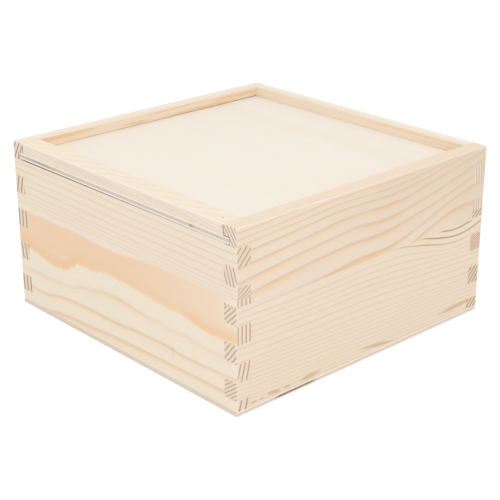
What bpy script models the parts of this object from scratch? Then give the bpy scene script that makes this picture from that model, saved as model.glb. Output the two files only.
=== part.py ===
"""Square pine box with a sliding lid.

Each of the four walls is glued up from two pine boards, and the walls meet in finger joints.
A plywood bottom is glued on from below. The lid is a plywood panel that slides in grooves in
the side and back walls, over the top of the lower front wall. A pine rail, held by three
brads, stands on its front end and closes the rim above the front wall.

Metres, +Z up. The origin is the middle of the underside. The front wall faces -Y, and the lid
slides out that way.
"""

import math

import bmesh
import bpy

for leftover in list(bpy.data.objects):
    bpy.data.objects.remove(leftover, do_unlink=True)


# Outside of the closed box
box_width = 0.200
box_depth = 0.200
box_height = 0.1064
edge_ease = 0.0006          # radius that sanding leaves on the outer edges

# Fit between pieces that are glued, nailed or seated
seat_gap = 0.0003

# Walls and the height of the seam between the two boards of each
wall_thickness = 0.0097
finger_height = 0.0108      # of one finger, joint included
front_seam = 0.0670
back_seam = 0.0674
left_seam = 0.0690
right_seam = 0.0619

# Bottom
bottom_thickness = 0.0030

# Groove that the lid runs in
groove_drop = 0.0059        # from the rim down to the groove
groove_depth = 0.00445
slide_gap = 0.0003          # above and below the lid
lid_side_gap = 0.0004       # between the lid's edges and the groove's floor

# Lid
lid_thickness = 0.0038
rail_width = 0.0131         # front to back
rail_end_gap = 0.0005       # between the rail and each side wall

# Brads that hold the rail on the lid
brad_radius = 0.0005
brad_head_radius = 0.0008
brad_head_height = 0.0005
brad_sink = 0.0003          # head below the top of the rail
brad_point = 0.0010         # length of the pointed end
brad_cover = 0.0007         # wood left below the point
brad_setback = 0.0058       # from the front of the rail
brad_place_shares = {"left": -0.885, "middle": -0.14, "right": 0.93}    # of half the rail

# Modelling values
overrun = 0.0020            # how far a cutter passes an open face
ease_segments = 2
arc_profile_share = 0.5     # bevel profile that gives a true arc
brad_sides = 16
smooth_limit = math.radians(30)

# Heights and reaches that follow from the sizes above
half_width = box_width / 2
half_depth = box_depth / 2
wall_foot = bottom_thickness + seat_gap
groove_top = box_height - groove_drop
groove_floor = groove_top - lid_thickness - 2 * slide_gap
lid_low = groove_floor + slide_gap
lid_high = lid_low + lid_thickness
groove_half_width = half_width - wall_thickness + groove_depth
groove_back = half_depth - wall_thickness + groove_depth
rail_half_length = half_width - wall_thickness - rail_end_gap
same_place = seat_gap / 10


def finish(name, colour, roughness, metallic=0.0):
    """Material of one sub-part."""
    material = bpy.data.materials.new(name)
    material.use_nodes = True
    shader = material.node_tree.nodes["Principled BSDF"]
    shader.inputs["Base Color"].default_value = (*colour, 1.0)
    shader.inputs["Roughness"].default_value = roughness
    shader.inputs["Metallic"].default_value = metallic
    material.diffuse_color = (*colour, 1.0)
    return material


def pine(name, colour):
    """Bare sanded pine in one board's own tint."""
    return finish(name + "_pine", colour, 0.62)


def plywood(name, colour):
    """Bare sanded plywood in one panel's own tint."""
    return finish(name + "_plywood", colour, 0.58)


def place(shape, name, material):
    """Turn a finished bmesh into an object of the scene."""
    mesh = bpy.data.meshes.new(name)
    shape.to_mesh(mesh)
    shape.free()
    piece = bpy.data.objects.new(name, mesh)
    bpy.context.scene.collection.objects.link(piece)
    if material:
        mesh.materials.append(material)
    return piece


def ease(shape, planes):
    """Round each edge that lies on two of the given planes, as (axis, position) pairs."""
    def on_plane(edge, axis, position):
        return all(abs(corner.co[axis] - position) < same_place for corner in edge.verts)

    edges = [
        edge for edge in shape.edges
        if sum(on_plane(edge, axis, position) for axis, position in planes) == 2
    ]
    bmesh.ops.bevel(
        shape, geom=edges, offset=edge_ease, segments=ease_segments,
        profile=arc_profile_share, affect="EDGES",
    )


def slab(name, low, high, material, eased=()):
    """Straight block between two corners, with the edges on the eased planes rounded."""
    shape = bmesh.new()
    bmesh.ops.create_cube(shape, size=1)
    for corner in shape.verts:
        corner.co = [
            high[axis] if corner.co[axis] > 0 else low[axis] for axis in range(3)
        ]
    ease(shape, eased)
    return place(shape, name, material)


def turned(name, profile, place_at, material=None):
    """Round body about a vertical axis, from (radius, height) points, top first."""
    shape = bmesh.new()
    corners = [shape.verts.new((radius, 0, height)) for radius, height in profile]
    edges = [shape.edges.new(pair) for pair in zip(corners, corners[1:])]
    bmesh.ops.spin(
        shape, geom=corners + edges, cent=(0, 0, 0), axis=(0, 0, 1),
        angle=math.tau, steps=brad_sides, use_merge=True,
    )
    bmesh.ops.remove_doubles(shape, verts=shape.verts, dist=same_place)
    bmesh.ops.recalc_face_normals(shape, faces=shape.faces)
    piece = place(shape, name, material)
    piece.location = place_at
    return piece


def cut(piece, cutter):
    """Take a cutter's shape out of a piece."""
    cutter.hide_render = True
    cutter.display_type = "WIRE"
    boolean = piece.modifiers.new(cutter.name, "BOOLEAN")
    boolean.operation = "DIFFERENCE"
    boolean.solver = "EXACT"
    boolean.object = cutter


def finger_bands(first):
    """Heights (low, high) of every second finger, counted from the rim down."""
    count = math.ceil((box_height - wall_foot) / finger_height)
    bands = []
    for number in range(first, count, 2):
        top = box_height - number * finger_height
        high = top - seat_gap / 2 if number else top
        low = max(top - finger_height + seat_gap / 2, wall_foot)
        if high - low > seat_gap:
            bands.append((low, high))
    return bands


def end_steps(low, high, bands, long_reach, short_reach):
    """Stepped outline of a board's end, as (reach, height) points from its foot up."""
    fingers = [(max(band[0], low), min(band[1], high)) for band in bands]
    fingers = [finger for finger in fingers if finger[1] - finger[0] > seat_gap]
    at_foot = any(finger[0] == low for finger in fingers)
    at_top = any(finger[1] == high for finger in fingers)
    steps = [(long_reach if at_foot else short_reach, low)]
    for finger_low, finger_high in sorted(fingers):
        if finger_low > low:
            steps += [(short_reach, finger_low), (long_reach, finger_low)]
        if finger_high < high:
            steps += [(long_reach, finger_high), (short_reach, finger_high)]
    steps.append((long_reach if at_top else short_reach, high))
    return steps


def wall_board(name, turns, length, span, low, high, bands, colour):
    """One pine board of a wall, modelled as a front board and turned to its side.

    length runs along the wall, and span is the outside size of the box across it.
    """
    short_reach = length / 2 - wall_thickness - seat_gap
    right_end = end_steps(low, high, bands, length / 2, short_reach)
    left_end = [(-reach, height) for reach, height in reversed(right_end)]
    shape = bmesh.new()
    corners = [shape.verts.new((reach, -span / 2, height)) for reach, height in right_end + left_end]
    outline = shape.faces.new(corners)
    grown = bmesh.ops.extrude_face_region(shape, geom=[outline])
    moved = [item for item in grown["geom"] if isinstance(item, bmesh.types.BMVert)]
    bmesh.ops.translate(shape, verts=moved, vec=(0, wall_thickness, 0))
    bmesh.ops.recalc_face_normals(shape, faces=shape.faces)
    ease(shape, [(0, -length / 2), (0, length / 2), (1, -span / 2), (2, box_height)])
    board = place(shape, name, pine(name, colour))
    board.rotation_euler.z = math.radians(90) * turns
    return board


# Walls: fingers of the side walls start at the rim, those of the front and back one finger lower
side_bands = finger_bands(0)
end_bands = finger_bands(1)
pale_pine = (0.83, 0.72, 0.58)
warm_pine = (0.82, 0.69, 0.54)
heart_pine = (0.84, 0.65, 0.46)

walls = (
    ("front", 0, box_width, box_depth, groove_floor, front_seam, end_bands, pale_pine, heart_pine),
    ("right", 1, box_depth, box_width, box_height, right_seam, side_bands, warm_pine, pale_pine),
    ("back", 2, box_width, box_depth, box_height, back_seam, end_bands, pale_pine, warm_pine),
    ("left", 3, box_depth, box_width, box_height, left_seam, side_bands, warm_pine, warm_pine),
)
boards = {}
for wall, turns, length, span, wall_top, seam, bands, upper_colour, lower_colour in walls:
    boards[wall] = wall_board(
        wall + "_upper_board", turns, length, span, seam + seat_gap / 2, wall_top, bands, upper_colour
    )
    wall_board(
        wall + "_lower_board", turns, length, span, wall_foot, seam - seat_gap / 2, bands, lower_colour
    )


# Groove: one run round the side and back walls, open at the front
groove_cutter = slab(
    "groove_cutter",
    (-groove_half_width, -half_depth - overrun, groove_floor),
    (groove_half_width, groove_back, groove_top),
    None,
)
for wall in ("right", "back", "left"):
    cut(boards[wall], groove_cutter)


# Bottom: flush with the walls all round
slab(
    "bottom_panel",
    (-half_width, -half_depth, 0),
    (half_width, half_depth, bottom_thickness),
    plywood("bottom_panel", (0.74, 0.65, 0.55)),
    eased=[(0, -half_width), (0, half_width), (1, -half_depth), (1, half_depth), (2, 0)],
)


# Lid: the panel in the grooves and the rail on its front end, both flush with the front wall
lid_panel = slab(
    "lid_panel",
    (lid_side_gap - groove_half_width, -half_depth, lid_low),
    (groove_half_width - lid_side_gap, groove_back - lid_side_gap, lid_high),
    plywood("lid_panel", (0.89, 0.83, 0.74)),
)
lid_rail = slab(
    "lid_rail",
    (-rail_half_length, -half_depth, lid_high + seat_gap),
    (rail_half_length, rail_width - half_depth, box_height),
    pine("lid_rail", (0.86, 0.76, 0.62)),
    eased=[(0, -rail_half_length), (0, rail_half_length), (1, -half_depth),
           (1, rail_width - half_depth), (2, box_height)],
)


# Brads: through the rail into the panel, each with its hole
brad_steel = finish("brad_steel", (0.56, 0.55, 0.53), 0.40, metallic=1.0)
head_top = -brad_sink
head_low = head_top - brad_head_height
tip = lid_low + brad_cover - box_height
brad_profile = [
    (0, head_top), (brad_head_radius, head_top), (brad_head_radius, head_low),
    (brad_radius, head_low), (brad_radius, tip + brad_point), (0, tip),
]
hole_profile = [
    (0, overrun), (brad_head_radius + seat_gap, overrun),
    (brad_head_radius + seat_gap, head_low - seat_gap), (brad_radius + seat_gap, head_low - seat_gap),
    (brad_radius + seat_gap, tip - seat_gap), (0, tip - seat_gap),
]
lid_pieces = [lid_panel, lid_rail]
for side, share in brad_place_shares.items():
    spot = (share * rail_half_length, brad_setback - half_depth, box_height)
    brad = turned("rail_brad_" + side, brad_profile, spot, brad_steel)
    brad.data.shade_smooth()
    brad.data.set_sharp_from_angle(angle=smooth_limit)
    hole = turned("brad_hole_" + side, hole_profile, spot)
    cut(lid_rail, hole)
    cut(lid_panel, hole)
    lid_pieces.append(brad)


# The lid slides as one, about an empty at the middle of its front end
lid_slide = bpy.data.objects.new("lid_slide", None)
bpy.context.scene.collection.objects.link(lid_slide)
lid_slide.location = (0, -half_depth, lid_low)
bpy.context.view_layer.update()
for piece in lid_pieces:
    piece.parent = lid_slide
    piece.matrix_parent_inverse = lid_slide.matrix_world.inverted()
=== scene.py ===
import math

import bmesh
import bpy
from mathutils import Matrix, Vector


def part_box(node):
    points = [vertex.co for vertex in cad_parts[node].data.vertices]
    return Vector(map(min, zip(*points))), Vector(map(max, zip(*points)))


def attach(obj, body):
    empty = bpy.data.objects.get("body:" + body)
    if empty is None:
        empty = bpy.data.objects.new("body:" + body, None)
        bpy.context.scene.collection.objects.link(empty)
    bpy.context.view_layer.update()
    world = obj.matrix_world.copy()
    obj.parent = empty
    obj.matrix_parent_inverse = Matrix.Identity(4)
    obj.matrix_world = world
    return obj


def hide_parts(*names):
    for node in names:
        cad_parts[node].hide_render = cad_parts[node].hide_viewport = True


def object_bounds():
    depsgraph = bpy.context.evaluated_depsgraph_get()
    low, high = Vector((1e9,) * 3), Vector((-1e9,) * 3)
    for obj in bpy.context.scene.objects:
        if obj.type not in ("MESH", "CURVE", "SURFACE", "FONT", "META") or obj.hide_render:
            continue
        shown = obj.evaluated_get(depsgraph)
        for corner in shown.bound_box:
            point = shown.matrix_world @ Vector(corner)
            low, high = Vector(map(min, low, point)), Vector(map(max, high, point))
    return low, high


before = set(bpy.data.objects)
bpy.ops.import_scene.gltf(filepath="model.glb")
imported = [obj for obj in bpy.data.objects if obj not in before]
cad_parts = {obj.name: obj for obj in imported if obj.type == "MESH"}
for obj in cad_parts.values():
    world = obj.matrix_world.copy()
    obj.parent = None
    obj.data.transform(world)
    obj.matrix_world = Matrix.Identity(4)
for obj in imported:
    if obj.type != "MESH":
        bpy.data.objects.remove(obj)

cad_low, cad_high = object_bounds()


# Front wall. Two pine boards glued edge to edge, with fingers cut into both ends that mesh with
# the fingers of the side walls. It is the lowest wall, so that the lid can slide out over it.
# The upper board has straight fine grain, the lower one a broad orange band of heartwood.

MM = 0.001
half = cad_high.x                       # half the outside width, and half the depth
rim = cad_high.z
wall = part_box("front_upper_board")[1].y + half
wall_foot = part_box("bottom_panel")[1].z
front_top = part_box("front_upper_board")[1].z
glue_line = 0.02 * MM                   # left between two glued faces
finger_height = 10.8 * MM
corner_round = 0.65 * MM                # outside edges, rounded by sanding
arris = 0.04 * MM                       # every other edge, touched with fine paper
lid_droop = 0.55 * MM                   # the front wall's top lies lower at the left
lid_rise = 0.2 * MM                     # and higher at the right
near = 0.001 * MM


def add_block(name, low, high):
    """A straight block between two corners, with its place and size in its mesh."""
    bpy.ops.object.select_all(action="DESELECT")
    bpy.ops.mesh.primitive_cube_add(
        size=1,
        location=[(a + b) / 2 for a, b in zip(low, high)],
        scale=[b - a for a, b in zip(low, high)],
    )
    bpy.ops.object.transform_apply()
    block = bpy.context.object
    block.name = name
    block.data.name = name
    return block


def choose(piece, kind, wanted):
    """In edit mode, select only the verts, edges or faces that a test accepts."""
    bpy.ops.mesh.select_mode(type=kind.upper()[:-1])
    bpy.ops.mesh.select_all(action="DESELECT")
    shape = bmesh.from_edit_mesh(piece.data)
    for part in getattr(shape, kind):
        if wanted(part):
            part.select_set(True)
    bmesh.update_edit_mesh(piece.data)


def slice_at(axis, place):
    """Cut a ring of edges across the whole mesh, square to an axis."""
    bpy.ops.mesh.select_all(action="SELECT")
    normal = [float(axis == each) for each in range(3)]
    bpy.ops.mesh.bisect(plane_co=[place * share for share in normal], plane_no=normal)


def round_edges(piece, planes, radius):
    """Round the edges that lie on two of the given planes, as (axis, place) pairs."""
    def lies_on(edge, axis, place):
        return all(abs(corner.co[axis] - place) < near for corner in edge.verts)

    choose(piece, "edges", lambda edge: sum(lies_on(edge, *plane) for plane in planes) == 2)
    bpy.ops.mesh.bevel(offset=radius, segments=4, affect="EDGES")


def break_edges(width=arris):
    """Take the sharpness off every edge that is still sharp."""
    bpy.ops.mesh.select_mode(type="EDGE")
    bpy.ops.mesh.select_all(action="DESELECT")
    bpy.ops.mesh.edges_select_sharp(sharpness=math.radians(50))
    bpy.ops.mesh.bevel(offset=width, segments=2, affect="EDGES")


def shade(piece):
    """Smooth rounds beside flat faces."""
    bpy.ops.object.shade_smooth_by_angle(angle=math.radians(40))
    modifier = piece.modifiers.new("flat faces stay flat", "WEIGHTED_NORMAL")
    modifier.keep_sharp = True
    bpy.ops.object.modifier_apply(modifier=modifier.name)


def take_out(piece, cutter):
    """Cut one block's shape out of a piece and throw the cutter away."""
    bpy.ops.object.select_all(action="DESELECT")
    bpy.context.view_layer.objects.active = piece
    piece.select_set(True)
    modifier = piece.modifiers.new("cut", "BOOLEAN")
    modifier.object = cutter
    bpy.ops.object.modifier_apply(modifier=modifier.name)
    bpy.data.objects.remove(cutter)


def finger_bands(first):
    """Heights of every second finger from the rim down, each a glue line short of its socket."""
    count = math.ceil((rim - wall_foot) / finger_height)
    tops = [rim - number * finger_height for number in range(first, count, 2)]
    return [
        (max(top - finger_height + glue_line / 2, wall_foot), min(top - glue_line / 2, rim))
        for top in tops
    ]


def wall_board(name, turns, low, high, bands, groove=None):
    """One board of a wall, shaped as a front board and turned to its own side of the box."""
    reach = half - wall - glue_line
    board = add_block(name, (-reach, -half, low), (reach, wall - half, high))
    bpy.ops.object.mode_set(mode="EDIT")
    for height in sum(bands, ()):
        if low + near < height < high - near:
            slice_at(2, height)
    choose(board, "faces", lambda face: abs(face.normal.x) > 0.9 and any(
        band_low < face.calc_center_median().z < band_high for band_low, band_high in bands
    ))
    bpy.ops.mesh.extrude_region_shrink_fatten(
        TRANSFORM_OT_shrink_fatten={"value": wall + glue_line}
    )
    bpy.ops.mesh.select_all(action="SELECT")
    bpy.ops.mesh.dissolve_limited(angle_limit=math.radians(1))
    for end, lift in ((-1, -lid_droop), (1, lid_rise)):
        if high == front_top:
            choose(board, "verts", lambda v: v.co.z > high - near and v.co.x * end > 0)
            bpy.ops.transform.translate(value=(0, 0, lift))
    bpy.ops.object.mode_set(mode="OBJECT")
    if groove:
        take_out(board, groove)
    bpy.ops.object.mode_set(mode="EDIT")
    round_edges(board, [(0, -half), (0, half), (1, -half), (2, rim)], corner_round)
    break_edges()
    bpy.ops.object.mode_set(mode="OBJECT")
    board.rotation_euler.z = math.radians(90) * turns
    bpy.ops.object.transform_apply()
    shade(board)
    return board


class Wire:
    """One output of a shader node. Arithmetic with it adds Math nodes to the same material."""

    def __init__(self, tree, socket=None):
        self.tree = tree
        self.socket = socket

    def node(self, kind, inputs=(), output=0, points=None, **settings):
        """Add a node, set it, feed its inputs with values or wires, and give one output."""
        made = self.tree.nodes.new("ShaderNode" + kind)
        for name, value in settings.items():
            setattr(made, name, value)
        if points:
            made.mapping.use_clip = False
            line = made.mapping.curves[0].points
            line[0].location, line[1].location = points[0], points[-1]
            for place, height in points[1:-1]:
                line.new(place, height)
            made.mapping.update()
        for name, value in dict(inputs).items():
            if isinstance(value, Wire):
                self.tree.links.new(value.socket, made.inputs[name])
            elif made.inputs[name].type == "RGBA":
                made.inputs[name].default_value = (*value, 1)
            else:
                made.inputs[name].default_value = value
        return Wire(self.tree, made.outputs[output])

    def other(self, output):
        """Another output of the node that this one comes from."""
        return Wire(self.tree, self.socket.node.outputs[output])

    def maths(self, operation, *values, **settings):
        return self.node("Math", enumerate(values), operation=operation, **settings)

    def __add__(self, value):
        return self.maths("ADD", self, value)

    def __sub__(self, value):
        return self.maths("SUBTRACT", self, value)

    def __rsub__(self, value):
        return self.maths("SUBTRACT", value, self)

    def __mul__(self, value):
        return self.maths("MULTIPLY", self, value)

    def __truediv__(self, value):
        return self.maths("DIVIDE", self, value)

    def __abs__(self):
        return self.maths("ABSOLUTE", self)

    __radd__ = __add__
    __rmul__ = __mul__

    def limited(self):
        """Kept between 0 and 1."""
        return self.maths("ADD", self, 0, use_clamp=True)

    def eased(self):
        """Kept between 0 and 1, and smooth at both ends."""
        return self.node("MapRange", {0: self}, interpolation_type="SMOOTHSTEP")

    def past(self, start, width):
        """0 up to a start, then evenly up to 1 over a width beyond it."""
        return ((self - start) / width).limited()

    def before(self, stop, width):
        """1 until a width short of a stop, then evenly down to 0 at it."""
        return ((stop - self) / width).limited()

    def around(self, middle, reach):
        """1 at a middle, and evenly down to 0 at a reach on both sides of it."""
        return (1 - abs(self - middle) / reach).limited()

    def between(self, colour, other_colour):
        """Colour that turns from the first to the second as this wire goes from 0 to 1."""
        return self.node(
            "Mix", {0: self, 6: colour, 7: other_colour}, output=2, data_type="RGBA",
        )


class Wood:
    """The inside of one board or panel, in millimetres as its outside face is looked at.

    along runs from the left end, into from the outside face, and down from the rim.
    """

    def __init__(self, name, turns):
        self.material = bpy.data.materials.new(name)
        self.material.use_nodes = True
        self.tree = self.material.node_tree
        self.shader = self.tree.nodes["Principled BSDF"]
        self.start = Wire(self.tree)
        place = self.start.node("TexCoord", output="Object")
        self.spot = self.start.node("Mapping", {
            "Vector": place,
            "Location": (half / MM, half / MM, rim / MM),
            "Rotation": (0, 0, -math.radians(90) * turns),
            "Scale": (1 / MM, 1 / MM, -1 / MM),
        })
        self.along = self.start.node("SeparateXYZ", {0: self.spot})
        self.into = self.along.other("Y")
        self.down = self.along.other("Z")
        lengthwise = (math.cos(math.radians(90) * turns), math.sin(math.radians(90) * turns), 0)
        facing = self.start.node(
            "VectorMath", {0: place.other("Normal"), 1: lengthwise}, output="Value",
            operation="DOT_PRODUCT",
        )
        self.end = abs(facing).past(0.55, 0.3).eased()

    def noise(self, lengths, detail=2, shift=0):
        """Soft noise from about -1 to 1, with its grain of the given lengths in mm."""
        stretched = self.start.node("Mapping", {
            "Vector": self.spot,
            "Location": (shift, shift, shift),
            "Scale": [1 / length for length in lengths],
        })
        cloud = self.start.node(
            "TexNoise", {"Vector": stretched, "Scale": 1, "Detail": detail, "Roughness": 0.55}
        )
        return cloud * 2 - 1

    def course(self, points):
        """Depth below the rim of a grain line drawn along the board, as (along, down) points.

        The points may lie from 20 mm above the rim to 120 mm below it.
        """
        reach, depth, above = 200, 140, 20
        shares = [(x / reach, (y + above) / depth) for x, y in points]
        return self.start.node("FloatCurve", {1: self.along / reach}, points=shares) * depth - above

    def rings(self, courses, slant, waves=1.0):
        """Growth rings, counted down the face between drawn grain lines and into the board.

        Each course gives the rings from the one above and its points, and slant the rings in
        each mm of thickness. The count starts in pale early wood.
        """
        wobble = self.noise((70, 14, 14)) * 0.35 + self.noise((15, 2.2, 2.2)) * 0.28
        down = self.down + wobble * waves
        lines = [self.course(points) for count, points in courses]
        total = self.into * slant + courses[0][0]
        for above, below, (count, points) in zip(lines, lines[1:], courses[1:]):
            total = total + down.past(above, below - above) * count
        return total

    def paint(self, ring, early, glow, late, strength, end_early, end_late, rich=0):
        """Pale early wood with a fine late line and its glow at each whole ring.

        On end grain the wood is darker and the lines are brown strokes. Where rich is 1, the
        glow is full of resin.
        """
        phase = ring.maths("FRACT", ring)
        halo = self.start.node("FloatCurve", {1: phase}, points=[
            (0, 1), (0.1, 0.8), (0.3, 0.3), (0.5, 0.05), (0.7, 0), (0.88, 0.1), (0.95, 0.6), (1, 1),
        ])
        core = self.start.node("FloatCurve", {1: phase}, points=[
            (0, 1), (0.07, 0.6), (0.16, 0.1), (0.3, 0), (0.7, 0), (0.86, 0.06), (0.94, 0.6), (1, 1),
        ])
        stroke = self.start.node("FloatCurve", {1: phase}, points=[
            (0, 1), (0.09, 0.95), (0.18, 0.12), (0.3, 0), (0.66, 0), (0.8, 0.12), (0.91, 0.9),
            (1, 1),
        ])
        self.line = core
        patchy = 1 + self.noise((38, 4, 4), detail=3, shift=30) * 0.7
        strong = (patchy * strength).limited()
        cloudy = (self.noise((60, 18, 18), shift=50) * 0.6 + 0.5).limited()
        streak = self.noise((28, 1.3, 1.3), detail=2, shift=60)
        self.fibre = self.noise((9, 0.22, 0.22), detail=3, shift=70)
        warm = [value * share for value, share in zip(early, (0.985, 0.965, 0.935))]
        face = cloudy.between(early, warm)
        face = (halo * (strong * 0.6 + rich)).limited().between(face, glow)
        face = (core * strong).limited().between(face, late)
        pore = self.noise((0.3, 0.3, 0.3), detail=2, shift=90)
        cut = (stroke * (0.9 + pore * 0.4)).limited().between(end_early, end_late)
        colour = self.end.between(face, cut)
        tone = 1 + self.fibre * 0.03 + streak * 0.022
        return self.start.node(
            "VectorMath", {0: colour, 1: self.start.node("CombineXYZ", {
                0: tone, 1: tone - streak * 0.004, 2: tone - streak * 0.010,
            })}, operation="MULTIPLY",
        )

    def patches(self, across, places, ragged=0.35):
        """1 inside soft patches, each (along, across, half length, half width, lean)."""
        edge = self.noise((7, 1.2, 1.2), detail=3, shift=11) * ragged
        total = 0
        for along, level, length, width, lean in places:
            x = (self.along - along) / length
            y = (across - level - (self.along - along) * lean) / width
            total = total + (1.15 - (x * x + y * y) + edge).limited()
        return (total * (1 - self.end)).limited()

    def finish(self, colour, piece, wear_and_highlight=(0.90, 0.82, 0.72), top_wear_and_highlight=1.8):
        """Sanded surface: paler edges, rubbed and with a painted highlight, faint fibres in the
        gloss and in the relief.
        """
        middle = half / MM
        to_end = middle - abs(self.along - middle)
        corner = 1.1 - self.into.maths("MAXIMUM", self.into, to_end)
        top_edge = 1 - self.into.maths("MAXIMUM", self.into / top_wear_and_highlight, self.down / 1.5)
        # Rubbing and a painted highlight both make the edges paler.
        rubbed_and_lit = self.noise((2, 2, 6), detail=3, shift=33) * 0.25 + 0.6
        rubbed_and_lit = rubbed_and_lit * (corner.limited() * 0.6 + (top_edge * 1.5).limited())
        colour = rubbed_and_lit.limited().between(colour, wear_and_highlight)
        self.tree.links.new(colour.socket, self.shader.inputs["Base Color"])
        gloss = 0.58 + self.fibre * 0.05 - self.line * 0.06
        self.tree.links.new(gloss.socket, self.shader.inputs["Roughness"])
        height = self.fibre * 0.35 + self.line * 0.5
        relief = self.start.node("Bump", {"Height": height, "Strength": 0.5, "Distance": 0.03 * MM})
        self.tree.links.new(relief.socket, self.shader.inputs["Normal"])
        self.shader.inputs["Specular IOR Level"].default_value = 0.3
        piece.data.materials.clear()
        piece.data.materials.append(self.material)


def set_in_place(piece, node, body="box"):
    """The piece stands for its CAD node and moves with its body."""
    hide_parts(node)
    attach(piece, body)


def seam_of(side):
    """Height of the glued seam between the two boards of a wall."""
    return (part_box(side + "_upper_board")[0].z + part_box(side + "_lower_board")[1].z) / 2


cut_pale = (0.82, 0.695, 0.57)
cut_brown = (0.385, 0.245, 0.165)

side_bands = finger_bands(0)
end_bands = finger_bands(1)
seam = seam_of("front")

front_upper = wall_board("front_upper_pine", 0, seam + glue_line / 2, front_top, end_bands)
wood = Wood("front upper pine", 0)
ring = wood.rings([
    (0.3, [(0, 9.8), (100, 10.4), (200, 10.8)]),
    (0.7, [(0, 12.8), (100, 13.6), (200, 14.1)]),
    (1, [(0, 17), (50, 17.3), (100, 18), (200, 18.6)]),
    (2, [(0, 26), (50, 26.3), (100, 27), (150, 26.5), (200, 27.6)]),
    (1, [(0, 30.6), (100, 30.9), (200, 31.6)]),
    (2, [(0, 36), (100, 36.3), (200, 36.9)]),
    (2, [(0, 40.2), (200, 40.6)]),
], slant=0.24)
pale_pine = (0.845, 0.735, 0.605)
colour = wood.paint(
    ring, pale_pine, (0.815, 0.685, 0.535), (0.725, 0.595, 0.455), 0.8, (0.795, 0.655, 0.515),
    (0.49, 0.34, 0.24),
)
# A thin brown painted shade lies along the top edge, in the gap close under the lid.
top_slope = (lid_droop + lid_rise) / (2 * half)
top_depth = (rim - front_top + lid_droop) / MM - wood.along * top_slope
gap_shade_line = wood.down.before(top_depth + 0.08, 0.04) * wood.into.before(2, 1.5)
colour = (gap_shade_line * (1 - wood.along / 260) * 0.6).between(colour, (0.52, 0.30, 0.19))
wood.finish(colour, front_upper)
set_in_place(front_upper, "front_upper_board")

front_lower = wall_board("front_lower_pine", 0, wall_foot, seam - glue_line / 2, end_bands)
wood = Wood("front lower pine", 0)
band_top = [
    (0, 42.6), (20, 42.6), (40, 42.3), (60, 42), (80, 42.6), (100, 43), (112, 41.6), (125, 40.3),
    (150, 39.8), (200, 39),
]
band_foot = [
    (0, 67), (10, 67.3), (20, 68.3), (30, 70), (40, 70.5), (50, 69), (56, 65), (60, 62.8),
    (78, 61.5), (85, 60), (100, 59.8), (125, 61), (140, 62.3), (157, 62.5), (165, 64), (175, 65.2),
    (200, 64),
]
first_line = [
    (0, 82.5), (25, 81), (44, 80), (54, 79.4), (60, 77.3), (67, 75.2), (75, 74.6), (85, 72.5),
    (94, 71.9), (106, 71.9), (119, 73.5), (137, 73.8), (150, 74.6), (160, 74), (175, 75),
    (200, 74.5),
]
ring = wood.rings([
    (0.35, band_foot),
    (0.65, first_line),
    (1, [(0, 91.8), (10, 92.2), (22, 92.8), (28, 92.2), (35, 90.6), (42, 89.4), (62, 87.9),
         (100, 87.5), (112, 86.5), (125, 85.9), (147, 85.7), (153, 86.6), (162, 86.6), (182, 85.6),
         (200, 84.8)]),
    (1, [(0, 105), (25, 103.3), (37, 101.5), (50, 100), (75, 98.8), (88, 97.5), (100, 96.9),
         (125, 96.2), (150, 95.6), (200, 94.6)]),
    (1, [(0, 116), (100, 110), (200, 107)]),
], slant=0.36 - wood.down.past(66, 38) * 0.14)
ring = ring + wood.end * wood.down.before(70, 4) * 0.37
below_first = wood.down.past(wood.course(first_line) + 1.5, 1.5) * 0.25
resin = below_first + wood.along.around(98, 50).eased() * 0.14
colour = wood.paint(
    ring, (0.85, 0.765, 0.645), (0.85, 0.71, 0.51), (0.785, 0.59, 0.385), 0.5 + resin * 1.7,
    (0.83, 0.695, 0.56), (0.46, 0.30, 0.21), rich=resin,
)
# The heartwood band is feathered and deepest along its foot, and grows paler to the right.
top, foot = wood.course(band_top), wood.course(band_foot)
fringe = wood.noise((3.5, 9, 9), detail=4, shift=21) * 2.6 * (1.2 - wood.along / 200)
above_foot = foot - wood.down + fringe
band = wood.down.past(top - 0.9, 2.4).eased() * above_foot.past(-1.2, 2.6).eased()
fading = wood.along.past(184, 12).eased() * wood.down.before(58, 4).eased()
band_there = band * (1 - fading)
veins = wood.noise((60, 1.5, 1.5), detail=3, shift=41) * 0.26
at_left = wood.along.before(90, 35).eased()
at_right = wood.along.past(152, 14).eased()
lower_edge = above_foot.before(10, 9).eased() * (0.12 + at_left * 0.26 + at_right * 0.32)
depth = 0.73 + lower_edge - wood.along.past(100, 100).eased() * 0.28 + veins
band_colour = above_foot.before(2.5, 3).eased().between((0.84, 0.575, 0.355), (0.85, 0.63, 0.35))
colour = wood.down.before(top + 1, 2).between(colour, pale_pine)
colour = (band_there * depth * (1 - wood.end)).limited().between(colour, band_colour)
knot = wood.patches(wood.down, [(147, 85.7, 1.3, 0.8, 0)])
colour = (knot * 0.5).between(colour, (0.45, 0.29, 0.17))
under_knot = wood.patches(wood.down, [(147.5, 88.5, 1.2, 3, 0)])
colour = (under_knot * 0.3).between(colour, (0.66, 0.58, 0.50))
wear_and_highlight = band_there.between((0.90, 0.82, 0.72), (0.85, 0.65, 0.44))
wood.finish(colour, front_lower, wear_and_highlight)
set_in_place(front_lower, "front_lower_board")


# Side walls and back wall. Two pine boards each, glued and fingered like the front wall, and
# taller, with the groove for the lid routed inside them just below the rim. The right upper
# board is plain-sawn, so its wide grain sweeps up towards the back.

lid_low, lid_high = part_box("lid_panel")
lid_side_gap = 0.4 * MM
groove_reach = lid_high.x + lid_side_gap
groove_back = lid_high.y + lid_side_gap
overrun = 2 * MM                        # how far a cutter passes an open face
groove_shade = (0.30, 0.20, 0.14)       # of wood that little light reaches


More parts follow.
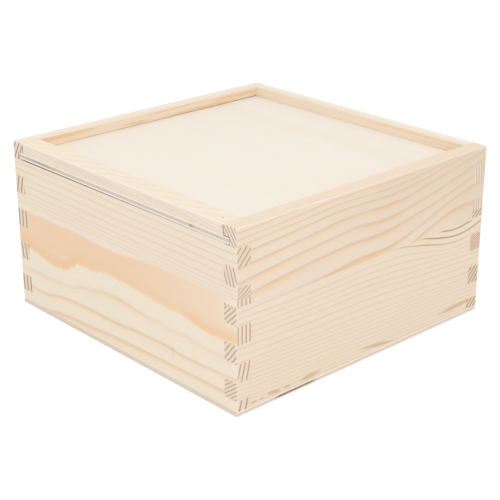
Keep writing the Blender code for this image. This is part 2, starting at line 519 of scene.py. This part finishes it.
def add_groove(start, stop, bottom, left_play, right_play):
    """The block that a groove is cut with, its play over the lid given at both ends."""
    left_top, slope = lid_high.z + left_play, right_play - left_play
    groove = add_block(
        "groove", (start, -bottom, front_top), (stop, wall - half + overrun, left_top)
    )
    bpy.ops.object.mode_set(mode="EDIT")
    choose(groove, "verts", lambda v: v.co.z > left_top - near and v.co.x > 0)
    bpy.ops.transform.translate(value=(0, 0, slope))
    bpy.ops.object.mode_set(mode="OBJECT")
    return groove


def inside_groove(wood):
    """1 on the groove's floor and back, a little in from its mouth."""
    mouth, roof, sill = 5, 5.95, 10.3
    height = wood.down.past(roof, 0.2) * wood.down.before(sill, 0.2)
    return wood.into.past(mouth, 0.3) * height


grooves = {
    "right": (-half - overrun, groove_back, groove_reach, 0.3 * MM, 0.3 * MM),
    "back": (-groove_reach, groove_reach, groove_back, 0.07 * MM, 0.07 * MM),
    "left": (-groove_back, half + overrun, groove_reach, 0.5 * MM, 0.05 * MM),
}
boards = {}
for side, turns, bands in (
    ("right", 1, side_bands), ("back", 2, end_bands), ("left", 3, side_bands)
):
    seam = seam_of(side)
    boards[side + "_upper"] = wall_board(
        side + "_upper_pine", turns, seam + glue_line / 2, rim, bands,
        groove=add_groove(*grooves[side]),
    )
    boards[side + "_lower"] = wall_board(
        side + "_lower_pine", turns, wall_foot, seam - glue_line / 2, bands
    )
    for half_name in ("_upper", "_lower"):
        set_in_place(boards[side + half_name], side + half_name + "_board")

wood = Wood("right upper pine", 1)
ring = wood.rings([
    (-1, [(0, -0.9), (25, -2), (55, -4), (75, -5), (125, -5), (200, -16)]),
    (1, [(0, 2.7), (25, 1.5), (55, -0.5), (75, -1.5), (125, -1.5), (200, -12)]),
    (1, [(0, 6.3), (25, 5), (55, 3), (75, 2), (125, 2), (140, 0.5), (200, -8)]),
    (1, [(0, 9.8), (50, 7), (75, 5.5), (115, 6), (145, 4), (200, -4)]),
    (1, [(0, 14.3), (25, 13), (50, 11), (75, 9.3), (100, 9.7), (120, 10), (150, 6.5), (175, 2),
         (200, -1.5)]),
    (1, [(0, 21.6), (50, 17.8), (75, 15.2), (90, 14.8), (115, 15.5), (130, 14.5), (150, 11),
         (200, 2)]),
    (1, [(0, 30), (50, 25.2), (75, 23), (90, 22.2), (110, 23.6), (130, 21.8), (157, 17), (200, 7)]),
    (1, [(0, 38.8), (35, 34.8), (80, 31.3), (112, 31), (140, 27), (170, 21), (200, 13)]),
    (1, [(0, 46.5), (60, 44.8), (90, 41.8), (118, 41), (140, 36), (170, 26.5), (200, 20)]),
    (1, [(0, 62), (100, 58), (139, 43), (155, 38), (172, 33), (180, 32.3), (200, 34)]),
    (0.75, [(0, 73), (100, 69), (139, 53), (155, 48), (172, 42.5), (180, 42), (200, 44)]),
], slant=0.37)
resin = wood.patches(wood.down, [
    (90, 44, 36, 4.5, -0.06), (112, 17.5, 26, 3.5, -0.02), (108, 25, 26, 3.5, -0.03),
    (112, 33, 20, 3, -0.04), (30, 39.5, 34, 4, -0.08), (30, 31, 30, 3.5, -0.08),
    (178, 36, 16, 4.5, 0.02), (70, 18.5, 20, 2.5, -0.1),
], ragged=0.5)
colour = wood.paint(
    ring, (0.83, 0.708, 0.58), (0.84, 0.61, 0.385), (0.71, 0.485, 0.29), 0.62, cut_pale,
    cut_brown, rich=resin * 0.8,
)
darker = wood.along.past(40, 90).eased() * wood.down.before(45, 35) * 0.26
darker = (darker + wood.along.past(165, 15) * 0.12) * wood.into.before(1, 0.5)
colour = darker.between(colour, (0.67, 0.52, 0.385))
routed = inside_groove(wood) * wood.along.before(194.6, 1)
colour = (routed * 0.8).between(colour, groove_shade)
wood.finish(colour, boards["right_upper"], wear_and_highlight=(0.85, 0.745, 0.625), top_wear_and_highlight=1.2)

wood = Wood("right lower pine", 1)
third_curve = [
    (0, 46.5), (100, 44), (125, 44.4), (145, 48.5), (170, 53.8), (188, 53.8), (200, 51.5)
]
ring = wood.rings([
    (0.3, [(0, 36), (100, 37), (155, 41), (178, 43), (200, 38)]),
    (0.7, [(0, 40), (100, 40), (155, 43.5), (178, 46), (200, 41)]),
    (1, [(0, 43), (100, 42), (143, 44), (160, 48), (178, 50.5), (200, 46.5)]),
    (1, third_curve),
    (1, [(0, 49.6), (50, 50.5), (105, 49.4), (130, 50.5), (150, 54), (170, 57.5), (200, 57.6)]),
    (2, [(0, 56.1), (50, 57), (100, 57), (150, 60.5), (200, 63.8)]),
    (2, [(0, 62.4), (50, 63.5), (100, 64), (150, 67.5), (200, 70)]),
    (2, [(0, 70.6), (50, 72.3), (112, 73.8), (150, 76.3), (200, 78.4)]),
    (1, [(0, 74.6), (50, 76.3), (112, 78), (150, 79.7), (200, 82)]),
    (3, [(0, 81.6), (50, 83.5), (112, 86.2), (150, 87), (200, 89)]),
    (3, [(0, 88.4), (50, 91.5), (112, 94.3), (200, 97)]),
    (4, [(0, 98), (50, 101), (200, 106)]),
    (4, [(0, 107), (50, 110), (200, 115)]),
], slant=-0.31, waves=0.5)
resin = wood.patches(wood.down, [
    (165, 53, 22, 2.5, 0.06), (150, 57, 40, 3, 0.05), (165, 66, 40, 5, 0.05), (110, 62, 26, 3, 0),
])
colour = wood.paint(
    ring, (0.84, 0.722, 0.59), (0.84, 0.675, 0.485), (0.71, 0.555, 0.395), 0.66,
    (0.80, 0.67, 0.54), (0.45, 0.31, 0.225), rich=resin * 0.5,
)
# Towards the back the late lines are brown down to the third, and darker above it.
above_third = wood.course(third_curve) - wood.down
brown = above_third.past(-1.2, 0.5) * wood.along.around(150, 42) * (1 - wood.end)
dark = above_third.past(1.2, 0.5) * wood.along.past(138, 16).eased() * (1 - wood.end)
colour = ((wood.line * 1.5).limited() * brown).between(colour, (0.62, 0.40, 0.22))
colour = ((wood.line * 1.3).limited() * dark * 0.8).between(colour, (0.42, 0.27, 0.16))
pitch = wood.patches(wood.down, [
    (12, 101.4, 2.2, 0.8, 0), (17.5, 101.4, 1.6, 0.6, 0), (26.5, 100.8, 5, 1.4, 0.1),
    (36.5, 101, 3, 1.0, 0), (54.5, 100.8, 8, 1.5, -0.06), (108, 100.2, 15, 1.2, 0.13),
    (180, 98, 17, 1.5, -0.04),
], ragged=0.8)
colour = ((pitch * 1.4).limited() * 0.9).between(colour, (0.69, 0.49, 0.305))
wood.finish(colour, boards["right_lower"])

wood = Wood("back upper pine", 2)
ring = wood.rings([
    (0.3, [(0, -6), (60, 2), (120, 9), (200, 4)]),
    (0.7, [(0, 4), (60, 14), (120, 19), (200, 13)]),
    (1, [(0, 27), (60, 24), (120, 28), (200, 24)]),
    (0.8, [(0, 60), (60, 34), (120, 36), (200, 36)]),
], slant=0.425)
colour = wood.paint(
    ring, (0.85, 0.735, 0.60), (0.84, 0.67, 0.48), (0.76, 0.56, 0.37), 0.6, cut_pale,
    (0.50, 0.35, 0.25),
)
sap = wood.patches(wood.down, [(40, 1.3, 60, 1.3, 0.004), (25, 4, 30, 1.2, 0)], ragged=0.6)
colour = (sap * wood.into.past(9, 0.5) * 0.5).between(colour, (0.83, 0.60, 0.38))
wood.finish(colour, boards["back_upper"], wear_and_highlight=(0.88, 0.835, 0.79), top_wear_and_highlight=7)

wood = Wood("back lower pine", 2)
ring = wood.rings([
    (0.3, [(0, 39), (200, 36)]),
    (4.7, [(0, 53), (100, 53), (200, 50)]),
    (9, [(0, 66), (100, 71), (200, 66)]),
    (2, [(0, 76), (100, 80), (200, 76)]),
    (3, [(0, 88), (100, 90), (200, 87)]),
    (4, [(0, 104), (200, 106)]),
], slant=-0.27, waves=0.6)
colour = wood.paint(
    ring, (0.845, 0.72, 0.585), (0.83, 0.67, 0.50), (0.75, 0.565, 0.39), 0.6, (0.77, 0.60, 0.455),
    (0.36, 0.21, 0.125),
)
wood.finish(colour, boards["back_lower"])

wood = Wood("left upper pine", 3)
ring = wood.rings([
    (0.19, [(0, 3), (100, 6), (200, 0)]),
    (1.5, [(0, 14), (70, 19), (140, 13), (200, 9.8)]),
    (1.3, [(0, 22), (70, 28), (140, 23), (200, 22)]),
    (0.6, [(0, 30), (70, 36), (140, 32), (200, 31)]),
], slant=0.26)
left_cut = ((0.81, 0.67, 0.54), (0.34, 0.19, 0.11))
colour = wood.paint(
    ring, (0.855, 0.745, 0.61), (0.85, 0.68, 0.48), (0.79, 0.59, 0.39), 0.55, *left_cut
)
# The inside face has a painted warm bounce light, and orange streaks near the rim.
inside = wood.into.past(9, 0.5)
colour = (inside * 0.5).between(colour, (0.86, 0.70, 0.53))
sap = wood.patches(wood.down, [
    (168, 1.6, 26, 1.5, 0), (184, 1.4, 8, 1.7, 0), (113, 4.5, 13, 1.1, -0.03),
    (60, 4.8, 34, 1.2, 0.01), (85, 1, 30, 0.5, 0.01), (28, 2.4, 26, 1.4, 0),
], ragged=1.2)
colour = (sap * inside * 0.8).between(colour, (0.82, 0.54, 0.315))
# Painted shade inside the groove, seen as a dark slit above the lid over part of its length.
slit = wood.along.before(150, 50).eased() + wood.along.past(194, 2)
routed = inside_groove(wood) * wood.along.past(5.4, 1) * slit
colour = (routed * 0.9).between(colour, (0.20, 0.12, 0.08))
wood.finish(colour, boards["left_upper"], wear_and_highlight=(0.84, 0.78, 0.73), top_wear_and_highlight=7)

wood = Wood("left lower pine", 3)
ring = wood.rings([
    (3.6, [(0, 44), (80, 40), (150, 48), (200, 62)]),
    (-0.48, [(0, 60), (80, 52), (150, 63), (200, 75)]),
    (-0.5, [(0, 78), (80, 70), (150, 78), (200, 87)]),
    (-0.4, [(0, 104), (80, 96), (150, 100), (200, 118)]),
], slant=0.27)
colour = wood.paint(
    ring, (0.845, 0.725, 0.59), (0.84, 0.66, 0.47), (0.78, 0.575, 0.38), 0.62, *left_cut
)
wood.finish(colour, boards["left_lower"])


# Bottom. A sheet of thin three-ply, glued on under the walls and sanded flush with them all
# round, so that its three layers show as a stripe. The core shows grey end grain at the sides.

def plywood_sheet(name, low, high, glue_heights, side_round, face_round):
    """A three-ply panel whose core lies a little back from the edges of its faces."""
    sheet = add_block(name, low, high)
    sides = [(0, low[0]), (0, high[0]), (1, low[1]), (1, high[1])]
    bpy.ops.object.mode_set(mode="EDIT")
    round_edges(sheet, sides, side_round)
    for face_height in (low[2], high[2]):
        choose(sheet, "edges", lambda edge: all(
            abs(corner.co.z - face_height) < near for corner in edge.verts
        ))
        bpy.ops.mesh.bevel(offset=face_round, segments=3, affect="EDGES")
    for height in glue_heights:
        slice_at(2, height)
    choose(sheet, "faces", lambda face: abs(face.normal.z) < 0.5 and (
        glue_heights[0] < face.calc_center_median().z < glue_heights[1]
    ))
    bpy.ops.mesh.extrude_region_shrink_fatten(TRANSFORM_OT_shrink_fatten={"value": -core_recess})
    bpy.ops.object.mode_set(mode="OBJECT")
    return sheet


def plywood_paint(wood, glue_depths, veneer, veneer_end, core_side, core_end, glue_strength):
    """Cream face veneers, a greyer core whose grain runs across them, and thin glue lines."""
    upper, lower = glue_depths
    wood.line = (wood.noise((30, 3, 30), detail=3, shift=5) * 0.5 + 0.4).limited()
    wood.fibre = wood.noise((7, 0.3, 0.3), detail=3, shift=70)
    mottle = (wood.noise((55, 14, 14), detail=3, shift=50) * 0.8 + 0.45).limited()
    warm = [value * share for value, share in zip(veneer, (0.985, 0.965, 0.93))]
    face = wood.end.between(mottle.between(veneer, warm), veneer_end)
    core_grain = 0.5 + wood.noise((0.8, 0.8, 0.35), detail=3, shift=15) * 0.5
    core_tone = [value * 0.86 for value in core_end]
    core = (1 - wood.end).between(core_side, core_grain.limited().between(core_end, core_tone))
    colour = (wood.down.past(upper, 0.06) * wood.down.before(lower, 0.06)).between(face, core)
    from_middle = abs(wood.down - (upper + lower) / 2)
    glue = from_middle.around((lower - upper) / 2, 0.13)
    return (glue * glue_strength).between(colour, (0.50, 0.38, 0.29))


core_recess = 0.04 * MM
bottom_glue = (0.95 * MM, 2.2 * MM)     # heights of the two glue lines
bottom_face_round = 0.25 * MM
bottom = plywood_sheet(
    "bottom_ply", (-half, -half, 0), (half, half, wall_foot - glue_line), bottom_glue,
    corner_round, bottom_face_round,
)
shade(bottom)
wood = Wood("bottom plywood", 1)
glue_depths = [(rim - height) / MM for height in reversed(bottom_glue)]
colour = plywood_paint(
    wood, glue_depths, veneer=(0.92, 0.845, 0.775), veneer_end=(0.76, 0.655, 0.57),
    core_side=(0.725, 0.635, 0.555), core_end=(0.76, 0.67, 0.59),
    glue_strength=0.35 + wood.end * 0.3,
)
# The core has a ragged split in the edge under the right wall, its shade painted dark.
ragged = wood.noise((2.5, 2.5, 2.5), detail=3, shift=27) * 0.5
split_shade = (3.4 - abs(wood.along - 43) / 5 + ragged).limited()
split_shade = split_shade * wood.down.past(glue_depths[0] - 0.1, 0.1) * wood.down.before(glue_depths[1], 0.1)
split_shade = split_shade * wood.into.before(3, 0.5) * (1 - wood.along / 200)
colour = split_shade.between(colour, (0.16, 0.11, 0.09))
wood.finish(colour, bottom, wear_and_highlight=(0.86, 0.76, 0.66))
set_in_place(bottom, "bottom_panel")


# Lid panel. Three-ply with a smooth cream face veneer whose grain runs from side to side. It
# slides in the grooves of the side and back walls, and its front end shows above the front
# wall: pale faces, and between them the grey end grain of the core.

lid_glue = (lid_low.z + 1.0 * MM, lid_high.z - 1.1 * MM)
lid_corner_round = 0.3 * MM
lid_face_round = 0.12 * MM
lid = plywood_sheet(
    "lid_ply", tuple(lid_low), tuple(lid_high), lid_glue, lid_corner_round, lid_face_round
)


# Rail on the lid's front end. A pale pine strip that closes the rim above the front wall and
# serves as the lid's grip. It is glued and nailed on the panel, flush with its end.

rail_low, rail_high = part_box("lid_rail")
rail_end_gap = 0.12 * MM
rail_round = 0.45 * MM
rail_arris = 0.15 * MM
rail_reach = half - wall - rail_end_gap
rail = add_block(
    "lid_rail_pine", (-rail_reach, rail_low.y, lid_high.z + glue_line),
    (rail_reach, rail_high.y, rail_high.z),
)
bpy.ops.object.mode_set(mode="EDIT")
round_edges(rail, [(1, rail_low.y), (1, rail_high.y), (2, rail_high.z)], rail_round)
break_edges(rail_arris)
bpy.ops.object.mode_set(mode="OBJECT")


# Three brads. Thin steel nails, driven through the rail into the panel and set a little below
# the wood, which has closed over their heads but for a small hole, seen as a faint dot. They
# need holes in the rail and in the panel.

brad_radius = 0.5 * MM
brad_head_height = 0.5 * MM
brad_point = 1 * MM                     # length of the pointed end
mouth_radius = 0.45 * MM                # of the small hole over each head
hole_slack = 0.03 * MM
head_round = 0.12 * MM
tip_share = 0.12                        # of the shank's radius, left at the very tip


def add_pin(name, spot, head_radius, head, under_head, shank_radius, tip, point):
    """A round pin that hangs from its head, down to its tip, with its middle at a spot."""
    bpy.ops.object.select_all(action="DESELECT")
    bpy.ops.mesh.primitive_cylinder_add(
        vertices=24, radius=head_radius, depth=head - under_head,
        location=(spot.x, spot.y, (head + under_head) / 2),
    )
    bpy.ops.object.transform_apply()
    pin = bpy.context.object
    pin.name = name
    pin.data.name = name
    bpy.ops.object.mode_set(mode="EDIT")
    choose(pin, "faces", lambda face: face.normal.z < -0.9)
    bpy.ops.mesh.inset(thickness=head_radius - shank_radius)
    bpy.ops.mesh.extrude_region_move(
        TRANSFORM_OT_translate={"value": (0, 0, tip + point - under_head)}
    )
    if point:
        bpy.ops.mesh.extrude_region_move(TRANSFORM_OT_translate={"value": (0, 0, -point)})
        bpy.ops.transform.resize(value=(tip_share, tip_share, 1))
        choose(pin, "edges", lambda edge: all(corner.co.z > head - near for corner in edge.verts))
        bpy.ops.mesh.bevel(offset=head_round, segments=3, affect="EDGES")
    bpy.ops.object.mode_set(mode="OBJECT")
    return pin


steel = bpy.data.materials.new("dull bright steel")
steel.use_nodes = True
shader = steel.node_tree.nodes["Principled BSDF"]
start = Wire(steel.node_tree)
scratches = start.node("Mapping", {
    "Vector": start.node("TexCoord", output="Object"), "Scale": (9000, 2500, 400),
})
scratches = start.node("TexNoise", {"Vector": scratches, "Scale": 1, "Detail": 3})
steel.node_tree.links.new(
    scratches.between((0.72, 0.66, 0.58), (0.88, 0.82, 0.74)).socket, shader.inputs["Base Color"]
)
steel.node_tree.links.new((0.32 + scratches * 0.25).socket, shader.inputs["Roughness"])
shader.inputs["Metallic"].default_value = 1.0

for side in ("left", "middle", "right"):
    brad_low, brad_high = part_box("rail_brad_" + side)
    head_radius = (brad_high.x - brad_low.x) / 2
    spot = (brad_low + brad_high) / 2
    under_head = brad_high.z - brad_head_height
    for piece in (rail, lid):
        take_out(piece, add_pin(
            "brad_hole", spot, head_radius + hole_slack, brad_high.z + hole_slack,
            under_head - hole_slack, brad_radius + hole_slack, brad_low.z - hole_slack, 0,
        ))
    take_out(rail, add_pin(
        "brad_mouth", spot, mouth_radius, rim + overrun, brad_high.z, mouth_radius / 2,
        under_head, 0,
    ))
    brad = add_pin(
        "brad_" + side, spot, head_radius, brad_high.z, under_head, brad_radius, brad_low.z,
        brad_point,
    )
    shade(brad)
    brad.data.materials.append(steel)
    set_in_place(brad, "rail_brad_" + side, body="lid")

for piece in (lid, rail):
    bpy.ops.object.select_all(action="DESELECT")
    bpy.context.view_layer.objects.active = piece
    piece.select_set(True)
    shade(piece)

wood = Wood("lid plywood", 0)
glue_depths = [(rim - height) / MM for height in reversed(lid_glue)]
colour = plywood_paint(
    wood, glue_depths, veneer=(0.85, 0.79, 0.705), veneer_end=(0.84, 0.76, 0.67),
    core_side=(0.68, 0.58, 0.49), core_end=(0.69, 0.585, 0.50), glue_strength=0.15,
)
cloudy = wood.noise((60, 8, 8), detail=3) * 0.4 + 0.6
warm_band = wood.into.around(156, 14).eased() * cloudy
colour = (warm_band * 0.9).limited().between(colour, (0.84, 0.735, 0.615))
# The front end's core is darker in two places; its right end gets painted shade in the groove.
at_front = wood.into.before(3, 0.5)
in_core = wood.down.past(glue_depths[0], 0.1) * wood.down.before(glue_depths[1], 0.1)
darker = wood.along.around(30, 26).eased() * 0.5 + wood.along.around(165, 3).eased() * 0.7
colour = (darker * in_core * at_front).between(colour, (0.36, 0.27, 0.21))
in_groove = wood.along.past(190.3, 0.15) * wood.down.before(6.6, 0.2)
colour = (in_groove * at_front * 0.7).between(colour, groove_shade)
wood.finish(colour, lid, wear_and_highlight=(0.85, 0.78, 0.68))
set_in_place(lid, "lid_panel", body="lid")

wood = Wood("rail pine", 0)
wander = wood.noise((45, 9, 9)) * 0.6 + wood.noise((20, 3, 3)) * 0.15
ring = wood.down * 0.5 - wood.along * 0.06 + wood.into * 0.13 + wander + 20
on_face = wood.into.before(0.6, 0.4)
colour = wood.paint(
    ring, (0.85, 0.76, 0.64), (0.855, 0.70, 0.475), (0.73, 0.60, 0.47), 0.25 + on_face * 0.65,
    cut_pale, cut_brown, rich=0.5 - on_face * 0.5,
)
darker = wood.patches(
    wood.down, [(70, 2.8, 60, 2.2, 0.045), (150, 3.5, 40, 1.5, 0.06)], ragged=0.8
)
colour = (on_face * (0.15 + darker * 0.45)).limited().between(colour, (0.76, 0.64, 0.535))
smudge = wood.patches(wood.down, [(189.5, 1.7, 0.7, 1.2, 0)])
colour = (smudge * wood.into.before(1.2, 0.8)).between(colour, (0.66, 0.42, 0.23))
# Little light reaches the gaps between the rail's ends and the side walls.
end_gap = wood.along.before(10.6, 0.15) + wood.along.past(189.75, 0.15)
end_gap =end_gap * wood.into.before(2.5, 1) * wood.down.past(0.7, 0.6)
colour = (end_gap * 0.85).between(colour, (0.30, 0.19, 0.12))
wood.finish(colour, rail, wear_and_highlight=(0.87, 0.79, 0.685))
set_in_place(rail, "lid_rail", body="lid")


# Floor, light and camera. A white paper floor that still takes the box's shadow, an even white
# room, and one large soft lamp over the camera. The camera stands where the edges of the box
# fall on those of the photograph.

def seen_directly(start):
    """1 where the camera sees a surface straight, in a reflection or through glass."""
    ray = start.node("LightPath", output="Is Camera Ray")
    return (ray + ray.other("Is Glossy Ray") + ray.other("Is Transmission Ray")).limited()


bpy.ops.object.select_all(action="DESELECT")
bpy.ops.mesh.primitive_plane_add(size=12)
floor = bpy.context.object
floor.name = "floor"
paper = bpy.data.materials.new("white paper")
paper.use_nodes = True
start = Wire(paper.node_tree)
seen = seen_directly(start)
plain = start.node("BsdfDiffuse", {"Color": (0.86, 0.86, 0.86)})
shadowed = start.node("BsdfDiffuse", {"Color": (0.25, 0.245, 0.24)})
glowing = start.node("Emission", {"Color": (1, 1, 1), "Strength": 0.79})
bright = start.node("AddShader", {0: shadowed, 1: glowing})
surface = start.node("MixShader", {0: seen, 1: plain, 2: bright})
paper.node_tree.links.new(
    surface.socket, paper.node_tree.nodes["Material Output"].inputs["Surface"]
)
floor.data.materials.append(paper)

scene = bpy.context.scene
world = bpy.data.worlds.new("white room")
scene.world = world
world.use_nodes = True
seen = seen_directly(Wire(world.node_tree))
backdrop = world.node_tree.nodes["Background"]
world.node_tree.links.new((0.93 + seen * 0.07).socket, backdrop.inputs["Strength"])
backdrop.inputs["Color"].default_value = (1, 1, 1, 1)
scene.view_settings.view_transform = "Standard"

lamp_data = bpy.data.lights.new("softbox", "AREA")
lamp_data.size = 1.2
lamp_data.energy = 5.5
lamp = bpy.data.objects.new("softbox", lamp_data)
scene.collection.objects.link(lamp)
lamp.location = (0.75, -0.75, 1.15)
lamp.rotation_euler = (math.radians(43), 0, math.radians(45))

camera_data = bpy.data.cameras.new("camera")
camera = bpy.data.objects.new("camera", camera_data)
scene.collection.objects.link(camera)
camera.location = (0.5368, -0.4940, 0.3358)
camera.rotation_euler = (math.radians(90 - 22.244), 0, math.radians(47.302))
camera_data.lens = 92.09
scene.camera = camera
